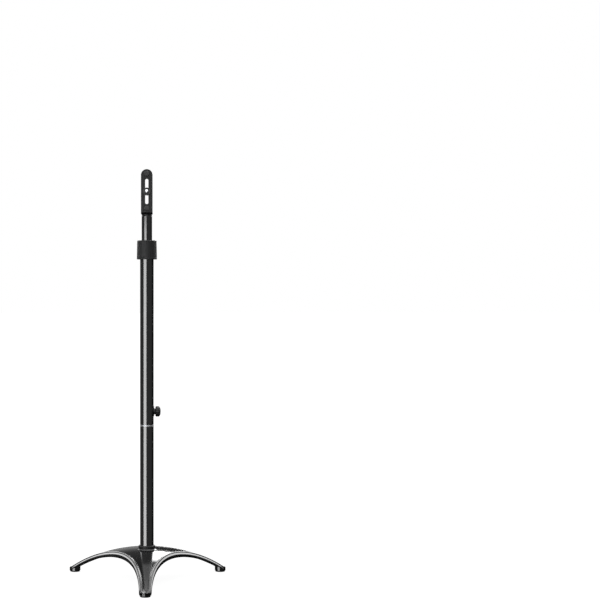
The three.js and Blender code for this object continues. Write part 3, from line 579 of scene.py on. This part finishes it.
def clamp_saddle():
    """Plate that hugs the tube, and the short neck that the screw goes through."""
    seat = tube_radius + GAP
    # The neck, as (distance from the screw's axis, distance from the pole's axis).
    neck = [(SCREW_BORE, BOSS_END - 2.0), (SCREW_BORE, BOSS_END - 0.3),
            (SCREW_BORE + 0.3, BOSS_END), (BOSS_RADIUS - 0.7, BOSS_END),
            (BOSS_RADIUS - 0.2, BOSS_END - 0.2), (BOSS_RADIUS, BOSS_END - 0.7)]
    # The plate that hugs the tube, as (distance from the screw's axis, height above the tube).
    plate = [(BOSS_RADIUS, SADDLE_THICKNESS + 0.9), (BOSS_RADIUS + 0.1, SADDLE_THICKNESS + 0.45),
             (BOSS_RADIUS + 0.4, SADDLE_THICKNESS + 0.12), (BOSS_RADIUS + 0.9, SADDLE_THICKNESS),
             (SADDLE_RADIUS - 0.5, SADDLE_THICKNESS),
             (SADDLE_RADIUS - 0.12, SADDLE_THICKNESS - 0.18),
             (SADDLE_RADIUS, SADDLE_THICKNESS - 0.5), (SADDLE_RADIUS, 0.0)]
    sides = 80
    turns = [2 * math.pi * k / sides for k in range(sides)]
    rings = [[(radius * math.cos(turn), radius * math.sin(turn), x) for turn in turns]
             for radius, x in neck]
    for radius, lift in plate:
        rings.append([(radius * math.cos(turn), radius * math.sin(turn),
                       math.sqrt((seat + lift) ** 2 - (radius * math.cos(turn)) ** 2))
                      for turn in turns])
    return mapped(loft(rings), along_x)


make_piece("clamp_neck", *clamp_saddle(), "stand", "knob_plastic", ["clamp_boss"])


def knob_fade(radius):
    """Flutes fade in softly over the outer part of the knob."""
    share = clamped((radius - KNOB_RADIUS * 0.72) / (KNOB_RADIUS * 0.28))
    return share * share * (3 - 2 * share)


def knob_body():
    """Domed knob, with a short hub at the rear that reaches to the boss."""
    hub_end = BOSS_END + 0.05
    outline = filleted([
        (SCREW_BORE, KNOB_BACK + 5.3, 0), (SCREW_BORE, hub_end, 0.1),
        (KNOB_RADIUS - 4.6, hub_end, 0.15), (KNOB_RADIUS - 4.4, KNOB_BACK, 0.15),
        (KNOB_RADIUS - 2.2, KNOB_BACK, 0.4), (KNOB_RADIUS, KNOB_BACK + 0.9, 0.9),
        (KNOB_RADIUS, KNOB_FRONT - 3.2, 2.2), (KNOB_RADIUS * 0.70, KNOB_FRONT - 1.0, 2.6),
        (KNOB_RADIUS * 0.34, KNOB_FRONT - 0.12, 2.0), (ON_AXIS, KNOB_FRONT, 0)], 8, closed=False)
    return mapped(fluted(outline, FLUTE_DEPTH, knob_fade, 1.4, 14), along_x)


make_piece("clamp_knob", *knob_body(), "knob", "knob_plastic", ["lock_knob"])

# ---------------------------------------------------------------- feet

pad_top = FOOT_BOTTOM + PAD_RECESS - GAP
pad_profile = filleted([
    (PAD_HOLE, PAD_POCKET_DEPTH, 0), (PAD_POCKET, PAD_POCKET_DEPTH, 0.1), (PAD_POCKET, 0.0, 0.4),
    (PAD_RADIUS, 0.0, 0.9), (PAD_RADIUS, pad_top, 0.2), (PAD_HOLE, pad_top, 0)])
for leg_name, angle in zip(("front", "right", "left"), LEG_ANGLES):
    x, y = FOOT_CENTRE * math.cos(angle), FOOT_CENTRE * math.sin(angle)
    pad = mapped(revolve(pad_profile, 72), lambda px, py, pz: (px + x, py + y, pz))
    make_piece(f"pad_{leg_name}", *pad, "stand", "pad_rubber", [f"foot_pad_{leg_name}"])

# ---------------------------------------------------------------- bracket

lo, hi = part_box("speaker_bracket")
BRACKET_FRONT = (lo.y - POLE_Y) / MM
BRACKET_BACK = (hi.y - POLE_Y) / MM
BRACKET_BOTTOM, BRACKET_TOP = lo.z / MM, hi.z / MM
BRACKET_HALF = (hi.x - lo.x) / 2 / MM

# Lengths along the flat pattern, from the rear end of the foot to the top.
BEND_OUTER, BEND_MIDDLE = BEND + PLATE, BEND + PLATE / 2
FOOT_LENGTH = BRACKET_BACK - (BRACKET_FRONT + BEND_OUTER)
BEND_LENGTH = BEND_MIDDLE * math.pi / 2
BEND_END = FOOT_LENGTH + BEND_LENGTH
PATTERN_LENGTH = BEND_END + (BRACKET_TOP - BRACKET_BOTTOM - BEND_OUTER)
SLOT_LOW = BEND_END + SLOT_START - BEND_OUTER


def folded(across, along, depth):
    """Folds a point of the flat pattern. depth is 0 on the side that faces down and forwards,
    and 1 on the other."""
    shift = depth * PLATE
    if along <= FOOT_LENGTH:
        return across, BRACKET_BACK - along, BRACKET_BOTTOM + shift
    if along <= BEND_END:
        turn = (along - FOOT_LENGTH) / BEND_MIDDLE
        radius = BEND_OUTER - shift
        return (across, BRACKET_FRONT + BEND_OUTER - radius * math.sin(turn),
                BRACKET_BOTTOM + BEND_OUTER - radius * math.cos(turn))
    return across, BRACKET_FRONT + shift, BRACKET_BOTTOM + BEND_OUTER + (along - BEND_END)


def bracket_mesh():
    """Flat pattern with its round top, slot and hole, filled, cut across the bend and folded."""
    half, corner = BRACKET_HALF, PLATE_CORNER
    cuts = [FOOT_LENGTH + BEND_LENGTH * k / 10 for k in range(11)]
    half_foot = FOOT_LENGTH * 0.5
    outline = arc(-half + corner, corner, corner, math.pi, 1.5 * math.pi, 6)
    outline += arc(half - corner, corner, corner, 1.5 * math.pi, 2 * math.pi, 6)
    outline += [(half, along) for along in [half_foot] + cuts]
    outline += arc(0, PATTERN_LENGTH - half, half, 0, math.pi, 40)
    outline += [(-half, along) for along in cuts[::-1] + [half_foot]]
    slot_end = SLOT_WIDTH / 2
    slot = arc(0, SLOT_LOW + SLOT_HEIGHT - slot_end, slot_end, 0, math.pi, 20)
    slot += arc(0, SLOT_LOW + slot_end, slot_end, math.pi, 2 * math.pi, 20)
    hole = arc(0, BRACKET_BACK, SCREW_BORE, 0, 2 * math.pi, 40)[:-1]

    flat = bmesh.new()
    for points in (outline, slot, hole):
        loop = [flat.verts.new((x, y, 0)) for x, y in points]
        for a, b in zip(loop, loop[1:] + loop[:1]):
            flat.edges.new((a, b))
    bmesh.ops.triangle_fill(flat, use_beauty=True, use_dissolve=False, edges=flat.edges[:])
    for along in cuts:
        bmesh.ops.bisect_plane(flat, geom=flat.verts[:] + flat.edges[:] + flat.faces[:], dist=1e-5,
                               plane_co=(0, along, 0), plane_no=(0, 1, 0))
    index = {v: i for i, v in enumerate(flat.verts)}
    count = len(index)
    verts = [folded(v.co.x, v.co.y, depth) for depth in (0, 1) for v in flat.verts]
    faces = []
    for face in flat.faces:
        ring = [index[v] for v in face.verts]
        faces.append(tuple(ring))
        faces.append(tuple(count + i for i in reversed(ring)))
    for edge in flat.edges:
        if edge.is_boundary:
            a, b = (index[v] for v in edge.verts)
            faces.append((a, b, count + b, count + a))
    flat.free()
    return verts, faces


bracket_piece = make_piece("bracket_plate", *bracket_mesh(), "bracket", "plate_black",
                           ["speaker_bracket"])
add_bevel(bracket_piece, 0.45, 3)

# ---------------------------------------------------------------- bracket's small pieces


def along_front(node):
    """Maps a piece made about +Z to an axis that runs forwards through a node's middle."""
    lo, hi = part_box(node)
    cx = ((lo.x + hi.x) / 2 - POLE_X) / MM
    cz = (lo.z + hi.z) / 2 / MM
    return lambda x, y, z: (cx + x, -z, cz + y)


def reach_front(node):
    """Back, front and radius of a node turned about an axis that runs forwards."""
    lo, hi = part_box(node)
    return -(hi.y - POLE_Y) / MM, -(lo.y - POLE_Y) / MM, (hi.z - lo.z) / 2 / MM


for node in ("bumper_lower", "bumper_upper"):
    back, front, radius = reach_front(node)
    profile = filleted([(ON_AXIS, back, 0), (radius, back, 0.1), (radius, front - 0.4, 0.6),
                        (radius * 0.6, front, 1.2), (ON_AXIS, front, 0)], 6, closed=False)
    make_piece(node + "_pad", *mapped(revolve(profile, 64, closed=False), along_front(node)),
               "bracket", "pad_rubber", [node])

for node, slot in (("thumb_washer_rear", "zinc_steel"), ("thumb_washer_front", "pad_rubber")):
    back, front, radius = reach_front(node)
    disc = sleeve(SCREW_BORE, radius, back, front, (0.12, 0.25, 0.25, 0.12), 72, 3)
    make_piece(node + "_disc", *mapped(disc, along_front(node)), "bracket", slot, [node])


def threaded(start, end):
    """The screw's thread: rings that advance one pitch a turn, with a crest and a root."""
    segments = 36
    section = ((0.0, 0.0), (0.42, -THREAD_DEPTH), (0.58, -THREAD_DEPTH), (1.0, 0.0))
    count = len(section)
    steps = int((end - start) / THREAD_PITCH * segments)
    verts, faces = [], []
    for k in range(steps + 1):
        turn = 2 * math.pi * k / segments
        base = start + THREAD_PITCH * k / segments
        for along, inwards in section:
            z = min(max(base + (along - 0.5) * THREAD_PITCH, start), end)
            taper = min(1.0, (end - z) / THREAD_PITCH)
            r = THREAD_RADIUS + inwards - (1 - taper) * THREAD_DEPTH
            verts.append((r * math.cos(turn), r * math.sin(turn), z))
    for k in range(steps):
        for i in range(count - 1):
            a = k * count + i
            faces.append((a, a + count, a + count + 1, a + 1))
    return verts, faces


thumb_back, thumb_front, thumb_radius = reach_front("thumb_screw")
head_front = thumb_back + THUMB_HEAD_DEPTH
head_profile = filleted([
    (ON_AXIS, thumb_back + 0.4, 0), (thumb_radius * 0.45, thumb_back + 0.4, 0.4),
    (thumb_radius * 0.55, thumb_back, 0.4), (thumb_radius - 0.2, thumb_back, 0.9),
    (thumb_radius, thumb_back + THUMB_HEAD_DEPTH * 0.5, 0), (thumb_radius - 0.1, head_front, 0.7),
    (4.6, head_front, 0)], 6, closed=False)


def thumb_fade(radius):
    return clamped((radius - thumb_radius * 0.7) / (thumb_radius * 0.3)) ** 2


head = fluted(head_profile, THUMB_FLUTE_DEPTH, thumb_fade, 1, 12)
make_piece("thumb_knob", *mapped(head, along_front("thumb_screw")), "bracket", "knob_plastic",
           ["thumb_screw"])
core = revolve(filleted([
    (ON_AXIS, head_front, 0), (THREAD_CORE, head_front, 0), (THREAD_CORE, thumb_front, 0.4),
    (ON_AXIS, thumb_front, 0)], closed=False), 36, closed=False)
thread = merged(core, threaded(head_front, thumb_front - 0.3))
make_piece("thumb_thread", *mapped(thread, along_front("thumb_screw")), "bracket", "zinc_steel",
           sharp=50)

# ---------------------------------------------------------------- carried CAD nodes

CARRIED_WELD = 0.00001  # metres

for subpart in frame["record"]["subparts"]:
    node = NODES[subpart["node"]]
    node.data.materials.clear()
    node.data.materials.append(MATERIALS[subpart["material_slot"]])
    for polygon in node.data.polygons:
        polygon.use_smooth = False
    if not node.hide_render:
        weld = node.modifiers.new("weld", "WELD")
        weld.merge_threshold = CARRIED_WELD
        add_bevel(node, 0.2, 2)

# ---------------------------------------------------------------- floor, world

FLOOR_REACH = 60.0
FLOOR_PAINT = 0.25  # keeps the stand's shadow
FLOOR_GLOW = 0.93  # brings the floor up to white, for the camera alone
AMBIENT = 0.62
WHITE = (1, 1, 1, 1)


def cleared_tree(owner):
    """Empty node tree of a material or world."""
    owner.use_nodes = True
    owner.node_tree.nodes.clear()
    return owner.node_tree


floor_mesh = bpy.data.meshes.new("studio_floor")
floor_mesh.from_pydata([(x * FLOOR_REACH, y * FLOOR_REACH, 0)
                        for x, y in ((-1, -1), (1, -1), (1, 1), (-1, 1))], [], [(0, 1, 2, 3)])
floor = bpy.data.objects.new("studio_floor", floor_mesh)
bpy.context.scene.collection.objects.link(floor)
floor.visible_glossy = False
floor_material = bpy.data.materials.new("studio_floor")
tree = cleared_tree(floor_material)
paths = tree.nodes.new("ShaderNodeLightPath")
paint = node_of(tree, "ShaderNodeBsdfDiffuse", Color=(FLOOR_PAINT, FLOOR_PAINT, FLOOR_PAINT, 1))
glow = node_of(tree, "ShaderNodeEmission", Color=WHITE)
both = tree.nodes.new("ShaderNodeAddShader")
out = tree.nodes.new("ShaderNodeOutputMaterial")
level = node_of(tree, "ShaderNodeMath", operation="MULTIPLY")
level.inputs[1].default_value = FLOOR_GLOW
wire(tree, (paths.outputs["Is Camera Ray"], level.inputs[0]),
     (level.outputs[0], glow.inputs["Strength"]),
     (paint.outputs[0], both.inputs[0]), (glow.outputs[0], both.inputs[1]),
     (both.outputs[0], out.inputs["Surface"]))
floor_mesh.materials.append(floor_material)

world = bpy.data.worlds.new("studio")
bpy.context.scene.world = world
tree = cleared_tree(world)
paths = tree.nodes.new("ShaderNodeLightPath")
seen = node_of(tree, "ShaderNodeMath", operation="MAXIMUM")
seen_through = node_of(tree, "ShaderNodeMath", operation="MAXIMUM")
ambient = node_of(tree, "ShaderNodeBackground", Color=WHITE, Strength=AMBIENT)
white = node_of(tree, "ShaderNodeBackground", Color=WHITE, Strength=1.0)
pick = tree.nodes.new("ShaderNodeMixShader")
out = tree.nodes.new("ShaderNodeOutputWorld")
wire(tree, (paths.outputs["Is Camera Ray"], seen.inputs[0]),
     (paths.outputs["Is Glossy Ray"], seen.inputs[1]),
     (seen.outputs[0], seen_through.inputs[0]),
     (paths.outputs["Is Transmission Ray"], seen_through.inputs[1]),
     (seen_through.outputs[0], pick.inputs["Fac"]),
     (ambient.outputs[0], pick.inputs[1]), (white.outputs[0], pick.inputs[2]),
     (pick.outputs[0], out.inputs["Surface"]))

# ---------------------------------------------------------------- lights

KEY_AZIMUTH, KEY_DISTANCE, KEY_HEIGHT, KEY_AIM = -38, 2.6, 2.2, 0.4
KEY_SIZE, KEY_RADIANCE = 1.2, 2.6
CARD_STEP = 4  # degrees between the folds of a curved card


def round_pole(azimuth, distance):
    """Plan place about the pole. Azimuth is in degrees from the front, positive to the right."""
    turn = math.radians(azimuth)
    return distance * math.sin(turn), -distance * math.cos(turn)


def studio_card(name, points, faces, first_level, last_level, first=0.0, last=1.0, axis="Z"):
    """A card of the studio that only shows in the gloss. It glows evenly, or from one level to
    another between two places along an axis of the frame."""
    mesh = bpy.data.meshes.new(name)
    mesh.from_pydata([(POLE_X + x, POLE_Y + y, z) for x, y, z in points], [], faces)
    material = bpy.data.materials.new(name)
    tree = cleared_tree(material)
    shine = tree.nodes.new("ShaderNodeEmission")
    place = tree.nodes.new("ShaderNodeTexCoord")
    split = tree.nodes.new("ShaderNodeSeparateXYZ")
    out = tree.nodes.new("ShaderNodeOutputMaterial")
    level = ranged(tree, split.outputs[axis], first, last, first_level, last_level)
    wire(tree, (place.outputs["Object"], split.inputs[0]), (level, shine.inputs["Strength"]),
         (shine.outputs[0], out.inputs["Surface"]))
    mesh.materials.append(material)
    card = bpy.data.objects.new(name, mesh)
    bpy.context.scene.collection.objects.link(card)
    card.visible_camera = False
    card.visible_diffuse = False
    card.visible_transmission = False
    card.visible_shadow = False


def upright_card(name, first, last, distance, bottom, top, low_level, high_level=None,
                 low_z=0.0, high_z=1.0):
    """Card that curves round the pole between two azimuths."""
    steps = max(2, int(abs(last - first) / CARD_STEP))
    points = []
    for k in range(steps + 1):
        x, y = round_pole(first + (last - first) * k / steps, distance)
        points += [(x, y, bottom), (x, y, top)]
    faces = [(2 * k, 2 * k + 2, 2 * k + 3, 2 * k + 1) for k in range(steps)]
    high_level = low_level if high_level is None else high_level
    studio_card(name, points, faces, low_level, high_level, low_z, high_z)


def level_card(name, half_width, front, back, height, front_level, back_level):
    """Flat card above or below the stand."""
    corners = [(-half_width, front), (half_width, front), (half_width, back), (-half_width, back)]
    studio_card(name, [(x, y, height) for x, y in corners], [(0, 1, 2, 3)],
                front_level, back_level, POLE_Y + front, POLE_Y + back, "Y")


# A plain key from the upper left front, which the gloss doesn't show.
key_light = bpy.data.lights.new("key", "AREA")
key_light.shape = "RECTANGLE"
key_light.size, key_light.size_y = KEY_SIZE, KEY_SIZE
key_light.energy = KEY_RADIANCE * math.pi * KEY_SIZE * KEY_SIZE
key = bpy.data.objects.new("key", key_light)
bpy.context.scene.collection.objects.link(key)
key_x, key_y = round_pole(KEY_AZIMUTH, KEY_DISTANCE)
key.location = (POLE_X + key_x, POLE_Y + key_y, KEY_HEIGHT)
aim = Vector((POLE_X, POLE_Y, KEY_AIM)) - key.location
key.rotation_euler = aim.to_track_quat("-Z", "Y").to_euler()
key.visible_camera = False
key.visible_glossy = False

# A studio for the gloss: a bright strip on the left, dark cards low down all round, soft walls and
# a ceiling above them, and bright panels behind on the right. Each row gives the first and last
# azimuth, the distance, the bottom and top, and the glow. Where the glow changes with the height,
# the glow higher up follows, and the two heights between which it changes.
for row in (
    ("card_strip", -55, -8, 2.0, -0.6, 0.85, 8.0),
    ("card_front_low", -8, 92, 5.8, -1.1, 1.60, 0.28),
    ("card_left_low", -112, -55, 5.8, -1.1, 1.60, 0.25),
    ("card_right_low", 92, 150, 5.8, -1.1, 1.60, 0.03),
    ("card_back_left_low", -160, -112, 5.8, -1.1, 1.60, 0.12),
    ("card_back_left", -180, -160, 5.0, -1.1, 20.0, 0.32, 0.11, 0.5, 1.8),
    ("card_back_low", 150, 180, 5.0, -1.1, 1.70, 0.04, 0.9, 1.10, 1.70),
    ("card_wedge", 172, 179.6, 5.0, 1.70, 4.3, 11.0, 4.0, 3.4, 4.3),
    ("card_back_high", 172, 180, 5.0, 4.3, 20.0, 0.4),
    ("card_back_right", 162, 172, 5.5, 1.70, 9.6, 14.0),
    ("card_back_right_side", 150, 162, 5.5, 1.70, 9.6, 6.0, 12.0, 3.2, 4.2),
    ("card_walls_left", -160, -112, 6.0, 1.5, 9.0, 6.5, 1.8, 2.8, 4.6),
    ("card_walls", -112, 112, 6.0, 1.5, 6.0, 0.8, 2.0, 1.5, 6.0),
    ("card_walls_right", 112, 150, 6.0, 1.5, 9.0, 6.5, 3.0, 3.0, 4.6),
):
    upright_card(*row)
level_card("card_ceiling", 7.0, -7.0, 1.5, 6.0, 10.0, 7.0)
level_card("card_below", 40, -40, 40, -1.2, 0.03, 0.03)

# ---------------------------------------------------------------- camera

CAMERA_DISTANCE, CAMERA_HEIGHT = 3.010, 0.578
CAMERA_AZIMUTH = 1.0
FOCAL_PIXELS, IMAGE_PIXELS = 1454.0, 600.0
# The camera looks straight to the rear, and its shift brings the pole to this pixel across.
POLE_PIXEL = 146.88

camera_data = bpy.data.cameras.new("camera")
camera_data.sensor_width = 36.0
camera_data.lens = camera_data.sensor_width * FOCAL_PIXELS / IMAGE_PIXELS
camera_data.clip_start, camera_data.clip_end = 0.05, 400.0
camera = bpy.data.objects.new("camera", camera_data)
bpy.context.scene.collection.objects.link(camera)
camera_x, camera_y = round_pole(CAMERA_AZIMUTH, CAMERA_DISTANCE)
camera.location = (POLE_X + camera_x, POLE_Y + camera_y, CAMERA_HEIGHT)
camera.rotation_euler = (math.pi / 2, 0, 0)
pole_offset = FOCAL_PIXELS * math.tan(math.radians(CAMERA_AZIMUTH))
camera_data.shift_x = (IMAGE_PIXELS / 2 - pole_offset - POLE_PIXEL) / IMAGE_PIXELS
bpy.context.scene.camera = camera
bpy.context.scene.view_settings.view_transform = "Standard"
